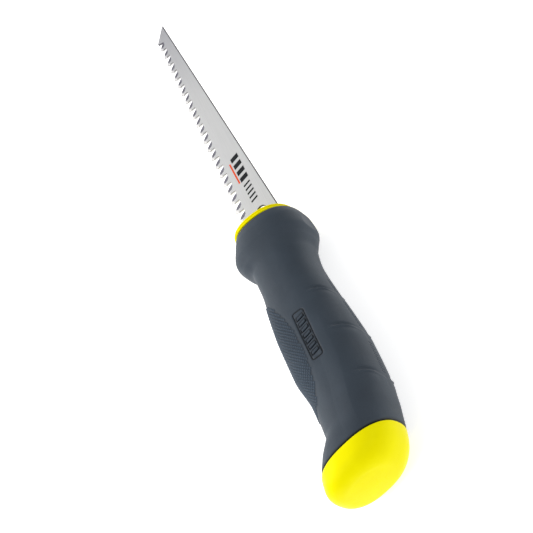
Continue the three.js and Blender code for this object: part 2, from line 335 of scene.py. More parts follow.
def blade_steel(name, colour, rough, metal=0.72):
    """Steel ground along its length, with fine streaks, faint smears and a
    slightly darker, bluer end where the point was hardened."""
    n = Nodes(name)
    streaks = n.noise(n.position((14, 900, 900)), 3.2, 5, 0.65)
    smear = n.noise(n.position(), 38, 4, 0.6)
    dark = tuple(c * 0.93 for c in colour)
    tone = n.blend(n.remap(streaks, 0.35, 0.65, 0, 1), (*dark, 1), (*colour, 1))
    along = n.add("ShaderNodeSeparateXYZ", {"Vector": n.place()}).outputs["X"]
    tip = tuple(c * f for c, f in zip(colour, HARDENED_TINT))
    tone = n.blend(n.remap(along, *HARDENED_REACH, 0, 1), tone, (*tip, 1))
    n.set(Base_Color=tone, Metallic=metal)
    n.set(Roughness=n.remap(smear, 0.3, 0.7, rough - 0.05, rough + 0.07))
    n.set(Normal=n.bump(streaks, 0.09, 0.00004))
    return n.material


def printed_ink(name, colour):
    """Pad-printed ink: slightly matt, with a faint speckle."""
    n = Nodes(name)
    speck = n.noise(n.position(), 1500, 3, 0.6)
    tone = n.blend(n.remap(speck, 0.25, 0.75, 0, 1), (*[c * 0.85 for c in colour], 1), (*colour, 1))
    n.set(Base_Color=tone, Roughness=n.remap(speck, 0.3, 0.7, 0.42, 0.58))
    n.set(Normal=n.bump(speck, 0.2, 0.00003), Specular_IOR_Level=0.15)
    return n.material


RUBBER = grip_rubber("grip_rubber", 1.0)
# Painted light: a lighter copy of the grip rubber for the panel's studs.
LIT_STUD_RUBBER = grip_rubber("stud_rubber_painted_light", 1.75)
YELLOW = yellow_plastic()
STEEL = blade_steel("blade_steel", (0.63, 0.63, 0.63), 0.42)
# Painted light and shade: darker and lighter copies of the blade steel, one for each way a face meets the
# light.
SHADED_GROUND_STEEL = blade_steel("ground_steel_painted_shade", (0.14, 0.136, 0.165), 0.38)
SHADED_EDGE_STEEL = blade_steel("edge_steel_painted_shade", (0.13, 0.125, 0.14), 0.45)
PAINTED_TIP_STEEL = blade_steel("tip_steel_painted_light_and_shade", (0.55, 0.54, 0.53), 0.34)
# Painted light on a tooth flank's lower band, painted shade on its upper band.
LIT_FLANK_STEEL = blade_steel("flank_steel_painted_light", (0.72, 0.71, 0.69), 0.34)
SHADED_FLANK_TOP_STEEL = blade_steel("flank_top_steel_painted_shade", (0.15, 0.136, 0.125), 0.4)
SHADED_HOLE_STEEL = blade_steel("hole_steel_painted_shade", (0.05, 0.05, 0.055), 0.5)
SHADED_SPINE_STEEL = blade_steel("spine_steel_painted_shade", (0.07, 0.069, 0.078), 0.5, metal=0.2)
RIVET_STEEL = blade_steel("rivet_steel", (0.66, 0.67, 0.69), 0.4)
DARK_INK = printed_ink("dark_ink", (0.012, 0.013, 0.016))
ORANGE_INK = printed_ink("orange_ink", (0.86, 0.095, 0.02))


# ---- blade ---------------------------------------------------------------------
def line_y(line, x):
    return line[0] - line[1] * x


def spine_y(x):
    return POINT[1] - (POINT[0] - x) * SPINE_SLOPE


def arc(cx, cy, radius, start, end, count):
    steps = np.linspace(math.radians(start), math.radians(end), count)
    return [(cx + radius * math.cos(a), cy + radius * math.sin(a)) for a in steps]


def tang_outline(grow):
    """The tang from its finger-side front corner round to its back-side one."""
    end = -TANG_LENGTH - grow
    front = TANG_FRONT_HALF + grow
    rear = TANG_REAR_HALF + grow
    return (
        [(TANG_NECK["x"], front - TANG_NECK["finger"]), (TANG_SHOULDER_X, front - 1)]
        + arc(end + rear, -0.5, rear, 90, 270, 13)
        + [(TANG_SHOULDER_X, -front - 1), (TANG_NECK["x"], -front - TANG_NECK["back"])]
    )


# Lit and shaded copies of one steel for the blade's faces, in the order of its material slots: painted shade
# on the ground faces, edges, hole walls and spine, a separately toned copy for the point facets, and on a
# tooth's flank painted shade above and painted light below.
FACE, GROUND, EDGE, TIP, FLANK, SHADED_FLANK_TOP, HOLE, SPINE = range(8)
BLADE_LOOKS = (
    STEEL, SHADED_GROUND_STEEL, SHADED_EDGE_STEEL, PAINTED_TIP_STEEL,
    LIT_FLANK_STEEL, SHADED_FLANK_TOP_STEEL, SHADED_HOLE_STEEL, SHADED_SPINE_STEEL,
)

# One tooth, as steps from its point: (x step, drop towards the spine, how far
# the ground face lies below the blade's face). The first list is the edge
# itself, the second the inner border of the ground face. The drops are for a
# tooth TOOTH_HEIGHT high, and the teeth get lower towards the point.
TOOTH_HEIGHT = 4.7
TOOTH_EDGE = [
    (3.2, 3.7, 0.28),
    (2.8, 2.6, 0.42),
    (2.1, 1.55, 0.45),
    (1.2, 0.75, 0.45),
    (0.0, 0.0, 0.5),
    (-1.3, 1.6, 0.3),
    (-1.36, 2.3, 0.0),
]
GROUND_BORDER = [(1.75, 4.45, 0.0), (0.7, 3.5, 0.0), (0.15, 1.85, 0.08), (-0.7, 1.95, 0.0)]
SHADED_BAND_DEPTH = 0.45                 # depth of the painted shade band at the top of a tooth's flank
SPINE_CHAMFER = (0.3, 0.2)        # width and depth
EDGE_BREAK = 0.15
GULLET_FRONT = 3.4
GULLET_REAR = -1.4


class FlatMesh:
    """Collects points and faces with a material for each face."""

    def __init__(self):
        self.points = []
        self.faces = []
        self.slots = []

    def point(self, x, y, z):
        self.points.append((x, y, z))
        return len(self.points) - 1

    def face(self, corners, slot):
        self.faces.append(tuple(corners))
        self.slots.append(slot)


def blade_loops(mesh, top):
    """Lays out the toothed edge. Gives the edge as a list of (point number, side wall slot, whose steel
    carries painted light and shade) and the border of the flat face."""
    edge = []
    border = []
    corner_x = FIRST_TOOTH_X + TIP_CORNER_TEETH * PITCH
    point = mesh.point(*POINT, top)
    corner = mesh.point(corner_x, line_y(TIP_LINE, corner_x), top)
    edge += [(point, EDGE), (corner, EDGE)]
    border += [point, corner]
    for i in range(TOOTH_COUNT):
        x = FIRST_TOOTH_X - i * PITCH
        tip_y = line_y(TIP_LINE, x)
        gullet_y = line_y(GULLET_LINE, x)
        reach = (tip_y - gullet_y) / TOOTH_HEIGHT
        if i > 0:
            rear = mesh.point(x + PITCH + GULLET_REAR, gullet_y, top)
            edge.append((rear, GROUND))
            border.append(rear)
        head = mesh.point(x + GULLET_FRONT, gullet_y, top)
        outer = [mesh.point(x + dx, tip_y - dy * reach, top - dz) for dx, dy, dz in TOOTH_EDGE]
        inner = [mesh.point(x + dx, tip_y - dy * reach, top - dz) for dx, dy, dz in GROUND_BORDER]
        edge += [(number, GROUND) for number in (head, *outer[:3])]
        edge += [(number, TIP) for number in outer[3:]]
        border += [head, *inner, outer[6]]
        mesh.face((head, outer[0], inner[0]), GROUND)
        mesh.face((outer[0], outer[1], inner[1], inner[0]), GROUND)
        mesh.face((outer[1], outer[2], inner[2], inner[1]), GROUND)
        mesh.face((outer[2], outer[3], inner[2]), GROUND)
        mesh.face((outer[3], outer[4], inner[3], inner[2]), TIP)
        mesh.face((outer[4], outer[5], outer[6], inner[3]), TIP)
    heel_y = line_y(GULLET_LINE, 0)
    last_x = FIRST_TOOTH_X - (TOOTH_COUNT - 1) * PITCH
    rest = [(last_x + GULLET_REAR, heel_y), (HEEL_X, heel_y)]
    rest += tang_outline(0) + [(HEEL_X, spine_y(HEEL_X))]
    for x, y in rest:
        number = mesh.point(x, y, top)
        edge.append((number, EDGE))
        border.append(number)
    front_x, rear_x = POINT[0] - 2, HEEL_X + 1
    outer = [mesh.point(x, spine_y(x), top - SPINE_CHAMFER[1]) for x in (rear_x, front_x)]
    inner = [mesh.point(x, spine_y(x) + SPINE_CHAMFER[0], top) for x in (rear_x, front_x)]
    heel = edge[-1][0]
    mesh.face((heel, outer[0], inner[0]), SPINE)
    mesh.face((outer[0], outer[1], inner[1], inner[0]), SPINE)
    mesh.face((outer[1], point, inner[1]), SPINE)
    edge[-1] = (heel, SPINE)
    edge += [(outer[0], SPINE), (outer[1], SPINE)]
    border += inner
    return edge, border


def add_hole(mesh, cx, cy, radius, top, count=40):
    """A round hole with broken edges; gives its rim on each face."""
    rims = []
    upper, lower = (top, radius + EDGE_BREAK), (-top, radius + EDGE_BREAK)
    levels = [upper, (top - EDGE_BREAK, radius), (-top + EDGE_BREAK, radius), lower]
    for z, r in levels:
        rims.append([mesh.point(x, y, z) for x, y in arc(cx, cy, r, 0, 360, count + 1)[:-1]])
    for upper, lower, slot in zip(rims, rims[1:], (EDGE, HOLE, EDGE)):
        for i in range(count):
            j = (i + 1) % count
            mesh.face((upper[i], upper[j], lower[j], lower[i]), slot)
    return rims[0], rims[-1]


def fill_face(bm, loops):
    """Fills a flat face between its outer loop and its holes."""
    edges = []
    for loop in loops:
        for a, b in zip(loop, loop[1:] + loop[:1]):
            edge = bm.edges.get((bm.verts[a], bm.verts[b])) or bm.edges.new((bm.verts[a], bm.verts[b]))
            edges.append(edge)
    filled = bmesh.ops.triangle_fill(bm, edges=edges, use_beauty=True, use_dissolve=False)
    for item in filled["geom"]:
        if isinstance(item, bmesh.types.BMFace):
            item.material_index = FACE


def build_blade():
    mesh = FlatMesh()
    top = BLADE_THICKNESS / 2
    edge, border = blade_loops(mesh, top)
    outline = [mesh.points[number] for number, _ in edge]
    middle = [mesh.point(x, y, z - SHADED_BAND_DEPTH) for x, y, z in outline]
    under = [mesh.point(x, y, -top) for x, y, _ in outline]
    for i, (number, slot) in enumerate(edge):
        j = (i + 1) % len(edge)
        # A tooth's flank: painted shade on its upper band, painted light on its lower one.
        bands = (SHADED_FLANK_TOP, FLANK) if slot == TIP else (slot, slot)
        mesh.face((number, edge[j][0], middle[j], middle[i]), bands[0])
        mesh.face((middle[i], middle[j], under[j], under[i]), bands[1])
    holes = [add_hole(mesh, *LOCATING_HOLE, top)]
    holes += [add_hole(mesh, x, 0, RIVET_RADIUS + GAP, top, 24) for x in RIVET_XS]
    obj = make_object("saw_blade", mesh.points, mesh.faces, BLADE_LOOKS, mesh.slots, smooth=False)
    bm = bmesh.new()
    bm.from_mesh(obj.data)
    bm.verts.ensure_lookup_table()
    fill_face(bm, [border] + [upper for upper, _ in holes])
    fill_face(bm, [under] + [lower for _, lower in holes])
    bmesh.ops.recalc_face_normals(bm, faces=bm.faces)
    bm.to_mesh(obj.data)
    bm.free()
    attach(obj, "root")
    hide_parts("blade")


# ---- printing on the blade -------------------------------------------------------
INK_HEIGHT = 0.03
INK_ROOT = 0.02                   # how far the ink reaches into the blade
BOLD_BARS = {"count": 4, "x": 49.0, "pitch": 4.6, "width": 2.7, "y": (1.2, -3.6)}
FINE_BARS = {"count": 5, "x": 30.0, "pitch": 2.7, "width": 1.0, "y": (1.0, -3.2)}
BARS_SLANT = 1.1
STRIPE = [(46.9, 2.1), (46.9, 3.0), (32.9, 2.6), (32.9, 1.7)]


def print_patch(name, outlines, material):
    """Thin raised ink patches on the blade's upper face."""
    vertices, faces = [], []
    top = BLADE_THICKNESS / 2
    for outline in outlines:
        base = len(vertices)
        count = len(outline)
        vertices += [(x, y, top - INK_ROOT) for x, y in outline]
        vertices += [(x, y, top + INK_HEIGHT) for x, y in outline]
        faces.append(tuple(base + count + i for i in range(count)))
        faces.append(tuple(base + i for i in reversed(range(count))))
        for i in range(count):
            j = (i + 1) % count
            faces.append((base + i, base + j, base + count + j, base + count + i))
    obj = make_object(name, vertices, faces, [material], smooth=False)
    face_outwards(obj)
    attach(obj, "root")
    return obj


def slanted_bars(row):
    """The outlines of a row of bars, from the one nearest the blade's point."""
    width, (y0, y1) = row["width"], row["y"]
    outlines = []
    for i in range(row["count"]):
        x = row["x"] - i * row["pitch"]
        foot = [(x, y0), (x - width, y0)]
        outlines.append(foot + [(x - width + BARS_SLANT, y1), (x + BARS_SLANT, y1)])
    return outlines


def build_printing():
    """A plain mark: bold bars, then fine ones, over a short orange stripe."""
    print_patch("print_dark_bars", slanted_bars(BOLD_BARS) + slanted_bars(FINE_BARS), DARK_INK)
    print_patch("print_orange_stripe", [STRIPE], ORANGE_INK)


# ---- core halves -------------------------------------------------------------------
COLLAR_ROUNDING = 1.1             # of the collar's front edge
REAR_BREAK = 0.3                  # of the edge against the sleeve
RIVET_SEAT_RADIUS = 4.3
RIVET_SEAT_DEPTH = 2.5            # below the core's surface
SEAT_CUT = 10.0                   # deep enough to come out of the core
BORE_CUT = 30.0
BLADE_SLOT = (5.0, -4.0)          # front and rear of the slot that the blade's heel fits


def core_profile():
    """(x, inset from the outline or None, collar inset) along the core."""
    rows = []
    for turn in np.linspace(0, 90, 7):
        a = math.radians(turn)
        rows.append((-COLLAR_ROUNDING * (1 - math.sin(a)), None, COLLAR_ROUNDING * (1 - math.cos(a))))
    rows += [(-COLLAR_DEPTH + REAR_BREAK, None, 0.0), (-COLLAR_DEPTH, None, REAR_BREAK)]
    inner = SLEEVE_WALL + GAP
    rows.append((-COLLAR_DEPTH - 0.01, inner, 0))
    rows += [(x, inner, 0) for x in np.arange(-4, SEAM_X + 4, -2.5)]
    rows.append((SEAM_X + 3, inner, 0))
    rows += [(x, SPIGOT_INSET, 0) for x in (SEAM_X + 1.5, SEAM_X - 2, SPIGOT_X + 0.6)]
    rows.append((SPIGOT_X, SPIGOT_INSET + 0.6, 0))
    return rows


def half_section(x, inset, collar_inset, angles):
    if inset is None:
        reach = {
            "finger": COLLAR["finger"] - collar_inset,
            "back": COLLAR["back"] + collar_inset,
            "side": COLLAR["side"] - collar_inset,
        }
        return oval(x, reach, 0, angles)
    return handle_section(x, inset, angles)


def flat_cutter(name, outline, depth):
    """A plain block with the outline given, for cutting and then removal."""
    count = len(outline)
    vertices = [(x, y, -depth) for x, y in outline] + [(x, y, depth) for x, y in outline]
    faces = [tuple(reversed(range(count))), tuple(range(count, 2 * count))]
    faces += [(i, (i + 1) % count, count + (i + 1) % count, count + i) for i in range(count)]
    obj = make_object(name, vertices, faces, [], smooth=False)
    face_outwards(obj)
    return obj


def cut_away(obj, cutters):
    for cutter in cutters:
        modifier = obj.modifiers.new("cut", "BOOLEAN")
        modifier.operation = "DIFFERENCE"
        modifier.solver = "MANIFOLD"
        modifier.object = cutter
    depsgraph = bpy.context.evaluated_depsgraph_get()
    mesh = bpy.data.meshes.new_from_object(obj.evaluated_get(depsgraph))
    obj.modifiers.clear()
    obj.data = mesh
    for cutter in cutters:
        bpy.data.objects.remove(cutter)


def build_core_half(name, node, up):
    angles = np.linspace(0, math.pi, 73) * up
    rings = []
    for x, inset, collar_inset in core_profile():
        ring = half_section(x, inset, collar_inset, angles)
        ring[:, 2] += up * GAP / 2
        ring[0, 2] = ring[-1, 2] = up * GAP / 2
        rings.append(ring)
    size = len(angles)
    faces = ring_faces(len(rings), size)
    faces.append(tuple(range(size)))
    faces.append(tuple(range((len(rings) - 1) * size, len(rings) * size)))
    obj = make_object(name, np.concatenate(rings), faces, [YELLOW])
    face_outwards(obj)
    depth = BLADE_THICKNESS / 2 + GAP
    front, rear = BLADE_SLOT
    high, low = line_y(GULLET_LINE, 0) + GAP, spine_y(0) - GAP
    slot = [(front, high), (rear, high), (rear, low), (front, low)]
    finger_y = TANG_FRONT_HALF + GAP - TANG_NECK["finger"]
    back_y = -TANG_FRONT_HALF - GAP - TANG_NECK["back"]
    tang = [(2, finger_y)] + tang_outline(GAP) + [(2, back_y)]
    cutters = [flat_cutter("slot_cutter", slot, depth), flat_cutter("tang_cutter", tang, depth)]
    for x in RIVET_XS:
        bore = arc(x, 0, RIVET_RADIUS + GAP, 0, 360, 25)[:-1]
        cutters.append(flat_cutter("bore_cutter", bore, BORE_CUT))
        head = flat_cutter("seat_cutter", arc(x, 0, RIVET_SEAT_RADIUS, 0, 360, 33)[:-1], SEAT_CUT)
        head.data.transform(Matrix.Translation((0, 0, up * (rivet_seat(x) + SEAT_CUT) * MM)))
        cutters.append(head)
    cut_away(obj, cutters)
    soften_by_angle(obj, 35)
    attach(obj, "root")
    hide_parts(node)


def rivet_seat(x):
    """Height of the flat that a rivet's head sits on, from the blade's middle."""
    return handle_value(3, x) - SLEEVE_WALL - GAP - RIVET_SEAT_DEPTH


def dress_rivets():
    """The hidden rivets keep their solid shapes and get their steel."""
    for i in range(len(RIVET_XS)):
        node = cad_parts[f"tang_rivet_{i + 1}"]
        node.data.materials.clear()
        node.data.materials.append(RIVET_STEEL)


# ---- grip sleeve ---------------------------------------------------------------------
PANEL = {"x": -73.5, "half_length": 34.0, "half_angle": 84.5, "power": 2.5, "depth": 0.05}
# Painted shade: darkens the rubber over the textured panel, round its studs.
PANEL_SHADE = 0.5
WAVE_XS = (-50.7, -74.0, -98.3)
WAVE_INNER_ANGLE = 118.0
WAVE_SWEEP = 3.6                  # how far a wave's line bends back on its way round
# Height, how far behind the wave's line its middle is, and width.
WAVE_CREST = (0.6, 1.5, 0.5)
WAVE_BACK = (0.34, 3.8, 3.0)
WAVE_DIP = (0.62, 0.0, 0.75)
STRIP = {"x0": -44.0, "x1": -107.0, "half_angle": 3.4, "depth": 0.05}
LABEL = {"x": -71.5, "y": -0.4, "half_length": 12.8, "half_width": 2.8, "corner": 1.0}
BAR_COUNT = 7
BAR_PITCH = 3.15
BAR_START = 3.4
BAR_WIDTH = 1.25
BAR_LENGTH = 3.5
BAR_SLANT = -0.22
CREASE = {"x0": -58.0, "x1": -124.0, "y": -8.2, "drift": 4.2, "height": 0.55, "half_width": 7.5}
LABEL_DEPTH = 0.38
SLEEVE_ROUNDING = 1.3             # of the sleeve's two ends
SLEEVE_STATIONS = 400
SLEEVE_ROUND = 220                # points round each station
BORE_STATIONS = 12
END_SHADE = 0.85                  # painted shade: the dark line where the sleeve meets a yellow piece


def smooth_step(low, high, value):
    t = np.clip((value - low) / (high - low), 0, 1)
    return t * t * (3 - 2 * t)


def panel_mask(x, angle):
    """1 inside the finger-side texture panel, falling to 0 at its border."""
    along = np.abs(x - PANEL["x"]) / PANEL["half_length"]
    around = angle / PANEL["half_angle"]
    return 1 - along ** PANEL["power"] - around ** PANEL["power"]


def strip_mask(x, angle):
    across = (STRIP["half_angle"] - np.abs(angle - 180)) / 2.0
    along = np.minimum(STRIP["x0"] - x, x - STRIP["x1"]) / 1.2
    return np.minimum(across, along)


def wave_offset(x, angle, start_x):
    """How far x lies behind a wave's crest line at this angle."""
    turn = np.clip((angle - WAVE_INNER_ANGLE) / (180 - WAVE_INNER_ANGLE), 0, 1)
    crest = start_x - WAVE_SWEEP * (1 - np.cos(turn * np.pi / 2))
    return crest - x


def swell(behind, shape):
    height, middle, width = shape
    return height * np.exp(-((behind - middle) / width) ** 2)


def grip_lift(x, angle, y, top):
    """How far the grip's surface stands out from the plain outline. The angle
    is 0 on the finger side and 180 on the back, whichever face it is."""
    lift = -PANEL["depth"] * smooth_step(0.0, 0.09, panel_mask(x, angle))
    lift = lift - STRIP["depth"] * smooth_step(0, 1, strip_mask(x, angle))
    for start_x in WAVE_XS:
        behind = wave_offset(x, angle, start_x)
        fade = smooth_step(WAVE_INNER_ANGLE - 4, WAVE_INNER_ANGLE + 20, angle)
        fade = fade * (1 - 0.9 * smooth_step(145, 168, angle))
        lift = lift + fade * (swell(behind, WAVE_CREST) + swell(behind, WAVE_BACK) - swell(behind, WAVE_DIP))
    crease_y = CREASE["y"] + CREASE["drift"] * smooth_step(-85, -118, x)
    crease_part = smooth_step(CREASE["x0"], CREASE["x0"] - 14, x)
    crease_part = crease_part * smooth_step(CREASE["x1"], CREASE["x1"] + 8, x)
    near = np.clip(1 - np.abs(y - crease_y) / CREASE["half_width"], 0, 1)
    lift = lift + CREASE["height"] * crease_part * near
    return lift - LABEL_DEPTH * label_groove(x, y) * top


def label_groove(x, y):
    """1 in the engraved lines: the label's border and round each bar."""
    border = smooth_step(0.42, 0.12, np.abs(label_distance(x, y)))
    slide = x - BAR_SLANT * (y - LABEL["y"])
    first = LABEL["x"] + LABEL["half_length"] - BAR_START
    nearest = np.clip(np.round((first - slide) / BAR_PITCH), 0, BAR_COUNT - 1)
    dx = np.abs(slide - (first - nearest * BAR_PITCH)) - BAR_WIDTH / 2
    dy = np.abs(y - LABEL["y"]) - BAR_LENGTH / 2
    outside = np.maximum(dx, dy)
    return np.maximum(border, smooth_step(0.55, 0.2, np.abs(outside - 0.1)))


def label_distance(x, y):
    """Signed distance from the label's rounded border, in millimetres."""
    dx = np.abs(x - LABEL["x"]) - (LABEL["half_length"] - LABEL["corner"])
    dy = np.abs(y - LABEL["y"]) - (LABEL["half_width"] - LABEL["corner"])
    outside = np.hypot(np.maximum(dx, 0), np.maximum(dy, 0))
    return outside + np.minimum(np.maximum(dx, dy), 0) - LABEL["corner"]


def folded(angles):
    """Angle from the finger side, 0 to 180 degrees, on either face."""
    turned = np.degrees(angles) % 360
    return 180 - np.abs(180 - turned)


def section_normals(x, angles):
    """Outward directions of the handle's surface at x."""
    step, turn = 0.2, 0.004
    along = handle_section(x + step, 0, angles) - handle_section(x - step, 0, angles)
    round_ = handle_section(x, 0, angles + turn) - handle_section(x, 0, angles - turn)
    normals = np.cross(round_, along)
    return normals / np.linalg.norm(normals, axis=1, keepdims=True)


def grip_surface(x, angles, inset=0.0):
    """Points and outward directions on the grip's finished surface."""
    base = handle_section(x, inset, angles)
    normals = section_normals(x, angles)
    lift = grip_lift(base[:, 0], folded(angles), base[:, 1], (np.sin(angles) > 0).astype(float))
    return base + normals * lift[:, None], normals


def sleeve_xs():
    """Stations along the sleeve, closer together at the label and waves."""
    front, back = -COLLAR_DEPTH - GAP, SEAM_X
    coarse = np.linspace(front, back, 4000)
    weight = 1 + 0.7 * np.exp(-((coarse - LABEL["x"]) / 17) ** 6)
    for start_x in WAVE_XS:
        weight = weight + 0.7 * np.exp(-((coarse - start_x + 2.5) / 4) ** 4)
    run = np.concatenate([[0], np.cumsum((weight[1:] + weight[:-1]) / 2 * np.abs(np.diff(coarse)))])
    return np.interp(np.linspace(0, run[-1], SLEEVE_STATIONS), run, coarse)


def build_sleeve():
    size = SLEEVE_ROUND
    front = -COLLAR_DEPTH - GAP
    rings, painted_shade = [], []
    for x in sleeve_xs():
        angles = even_angles(x, size, 1.0)
        depth = min(front - x, x - SEAM_X)
        e = max(1 - depth / SLEEVE_ROUNDING, 0)
        inset = SLEEVE_ROUNDING * (1 - math.sqrt(max(1 - e * e, 0)))
        ring = grip_surface(x, angles, inset)[0]
        rings.append(ring)
        # Painted shade in the label's engraved lines.
        groove = label_groove(ring[:, 0], ring[:, 1]) * (np.sin(angles) > 0.5)
        # Painted shade over the textured panel.
        panel = PANEL_SHADE * smooth_step(0.08, 0.16, panel_mask(ring[:, 0], folded(angles)))
        # Painted shade in a thin line along both ends, against the yellow pieces.
        painted_shade.append(np.maximum(np.maximum(groove, panel), smooth_step(0.9, 0.3, depth) * END_SHADE))
    for x in np.linspace(SEAM_X, front, BORE_STATIONS):
        rings.append(handle_section(x, SLEEVE_WALL, even_angles(x, size, 1.0)))
        painted_shade.append(np.zeros(size))
    points = np.concatenate(rings)
    points[:, 1] = np.maximum(points[:, 1], (sleeve_box[0].y - ORIGIN.y) / MM)
    obj = make_object("grip", points, ring_faces(len(rings), size, close_rings=True), [RUBBER])
    shade = obj.data.attributes.new("painted_shade", "FLOAT", "POINT")
    shade.data.foreach_set("value", np.concatenate(painted_shade).astype(np.float32))
    face_outwards(obj)
    soften_by_angle(obj, 50)
    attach(obj, "root")
    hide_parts("grip_sleeve")


# ---- what repeats on the grip -----------------------------------------------------------
def scatter_tree(name):
    """A node tree that stands a copy of `Stud` on each point of the mesh,
    turned to the point's own outward direction."""
    tree = bpy.data.node_groups.new(name, "GeometryNodeTree")
    face = tree.interface
    face.new_socket("Points", in_out="INPUT", socket_type="NodeSocketGeometry")
    face.new_socket("Stud", in_out="INPUT", socket_type="NodeSocketObject")
    face.new_socket("Size", in_out="INPUT", socket_type="NodeSocketFloat")
    face.new_socket("Finish", in_out="INPUT", socket_type="NodeSocketMaterial")
    face.new_socket("Studs", in_out="OUTPUT", socket_type="NodeSocketGeometry")
    nodes, links = tree.nodes, tree.links
    entry = nodes.new("NodeGroupInput")
    exit_ = nodes.new("NodeGroupOutput")
    points = nodes.new("GeometryNodeMeshToPoints")
    stud = nodes.new("GeometryNodeObjectInfo")
    outward = nodes.new("GeometryNodeInputNamedAttribute")
    outward.data_type = "FLOAT_VECTOR"
    outward.inputs["Name"].default_value = "outward"
    forward = nodes.new("GeometryNodeInputNamedAttribute")
    forward.data_type = "FLOAT_VECTOR"
    forward.inputs["Name"].default_value = "forward"
    upright = nodes.new("FunctionNodeAlignRotationToVector")
    upright.axis = "Z"
    turned = nodes.new("FunctionNodeAlignRotationToVector")
    turned.axis = "X"
    turned.pivot_axis = "Z"
    place = nodes.new("GeometryNodeInstanceOnPoints")
    real = nodes.new("GeometryNodeRealizeInstances")
    finish = nodes.new("GeometryNodeSetMaterial")
    links.new(entry.outputs["Points"], points.inputs["Mesh"])
    links.new(entry.outputs["Stud"], stud.inputs["Object"])
    links.new(outward.outputs["Attribute"], upright.inputs["Vector"])
    links.new(upright.outputs["Rotation"], turned.inputs["Rotation"])
    links.new(forward.outputs["Attribute"], turned.inputs["Vector"])
    links.new(points.outputs["Points"], place.inputs["Points"])
    links.new(stud.outputs["Geometry"], place.inputs["Instance"])
    links.new(turned.outputs["Rotation"], place.inputs["Rotation"])
    links.new(entry.outputs["Size"], place.inputs["Scale"])
    links.new(place.outputs["Instances"], real.inputs["Geometry"])
    links.new(real.outputs["Geometry"], finish.inputs["Geometry"])
    links.new(entry.outputs["Finish"], finish.inputs["Material"])
    links.new(finish.outputs["Geometry"], exit_.inputs["Studs"])
    return tree


SCATTER = scatter_tree("stand_on_points")


def scatter(name, points, outward, forward, stud, material):
    """Stands copies of a small stud on the points and makes one plain mesh."""
    seed = make_object(name + "_points", points, [], [], smooth=False)
    for key, rows in (("outward", outward), ("forward", forward)):
        attribute = seed.data.attributes.new(key, "FLOAT_VECTOR", "POINT")
        attribute.data.foreach_set("vector", np.asarray(rows, dtype=np.float32).ravel())
    modifier = seed.modifiers.new("scatter", "NODES")
    modifier.node_group = SCATTER
    values = {"Stud": stud, "Size": 1.0, "Finish": material}
    for item in SCATTER.interface.items_tree:
        if item.in_out == "INPUT" and item.name in values:
            modifier[item.identifier] = values[item.name]
    depsgraph = bpy.context.evaluated_depsgraph_get()
    mesh = bpy.data.meshes.new_from_object(seed.evaluated_get(depsgraph))
    bpy.data.objects.remove(seed)
    bpy.data.objects.remove(stud)
    obj = bpy.data.objects.new(name, mesh)
    bpy.context.scene.collection.objects.link(obj)
    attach(obj, "root")
    return obj


PAD_ROOT = 0.25                   # how far a pad reaches into the grip
STUD = {"length": 1.6, "width": 1.5, "height": 0.42, "pitch_x": 1.85, "pitch_y": 1.7}
RIB = {"length": 0.9, "width": 3.0, "height": 0.15, "pitch": 1.6}
BAR_HEIGHT = 0.22
PANEL_BORDER = 0.13               # studs stop where the panel's mask is below this


def raised_pad(name, length, width, height, slant=0.0, sides=4):
    """A small closed pad with sloping sides, standing on z = 0. Four sides
    make a diamond, and more a rounded bar."""
    if sides == 4:
        shoulder, crown = 0.55, 0.3
        corners = [(1, 0), (0, 1), (-1, 0), (0, -1)]
    else:
        shoulder, crown = 0.8, 0.65
        corners = [(1, -0.8), (1, 0.8), (0.8, 1), (-0.8, 1), (-1, 0.8), (-1, -0.8), (-0.8, -1), (0.8, -1)]
    levels = [(1.0, -PAD_ROOT), (1.0, 0.0), (shoulder, height * 0.8), (crown, height)]
    count = len(corners)
    vertices = []
    for scale, z in levels:
        spread = 1 if z <= 0 else scale
        for x, y in corners:
            px = x * (length / 2 - (1 - spread) * min(length, width) / 2)
            py = y * (width / 2 - (1 - spread) * min(length, width) / 2)
            vertices.append((px + slant * py, py, z))
    faces = ring_faces(len(levels), count)
    faces.append(tuple(reversed(range(count))))
    faces.append(tuple(range((len(levels) - 1) * count, len(levels) * count)))
    mesh = bpy.data.meshes.new(name)
    mesh.from_pydata([Vector(v) * MM for v in vertices], [], faces)
    obj = bpy.data.objects.new(name, mesh)
    bpy.context.scene.collection.objects.link(obj)
    face_outwards(obj)
    return obj


def surface_spot(x, angle):
    """Point, outward and forward directions on the grip at one place."""
    angles = np.array([angle])
    point, normal = grip_surface(x, angles)
    ahead, _ = grip_surface(x + 0.5, angles)
    forward = ahead[0] - point[0]
    return point[0], normal[0], forward / np.linalg.norm(forward)


def build_panel_studs():
    """A lattice of small diamonds over the finger-side panel."""
    points, outward, forward = [], [], []
    step_y = STUD["pitch_y"]
    first, last = PANEL["x"] - PANEL["half_length"], PANEL["x"] + PANEL["half_length"]
    for row, x in enumerate(np.arange(first, last, STUD["pitch_x"] / 2)):
        dense = np.radians(np.linspace(-90, 90, 361))
        line = handle_section(x, 0, dense)
        run = np.concatenate([[0], np.cumsum(np.linalg.norm(np.diff(line, axis=0), axis=1))])
        run -= np.interp(0, dense, run)
        start = step_y / 2 if row % 2 else 0.0
        places = np.arange(-40, 41) * step_y + start
        for place in places[(places > run[0]) & (places < run[-1])]:
            angle = float(np.interp(place, run, dense))
            spot, normal, ahead = surface_spot(x, angle)
            if panel_mask(spot[0], abs(math.degrees(angle))) > PANEL_BORDER:
                points.append(spot)
                outward.append(normal)
                forward.append(ahead)
    stud = raised_pad("diamond", STUD["length"], STUD["width"], STUD["height"])
    scatter("grip_panel_studs", points, outward, forward, stud, LIT_STUD_RUBBER)


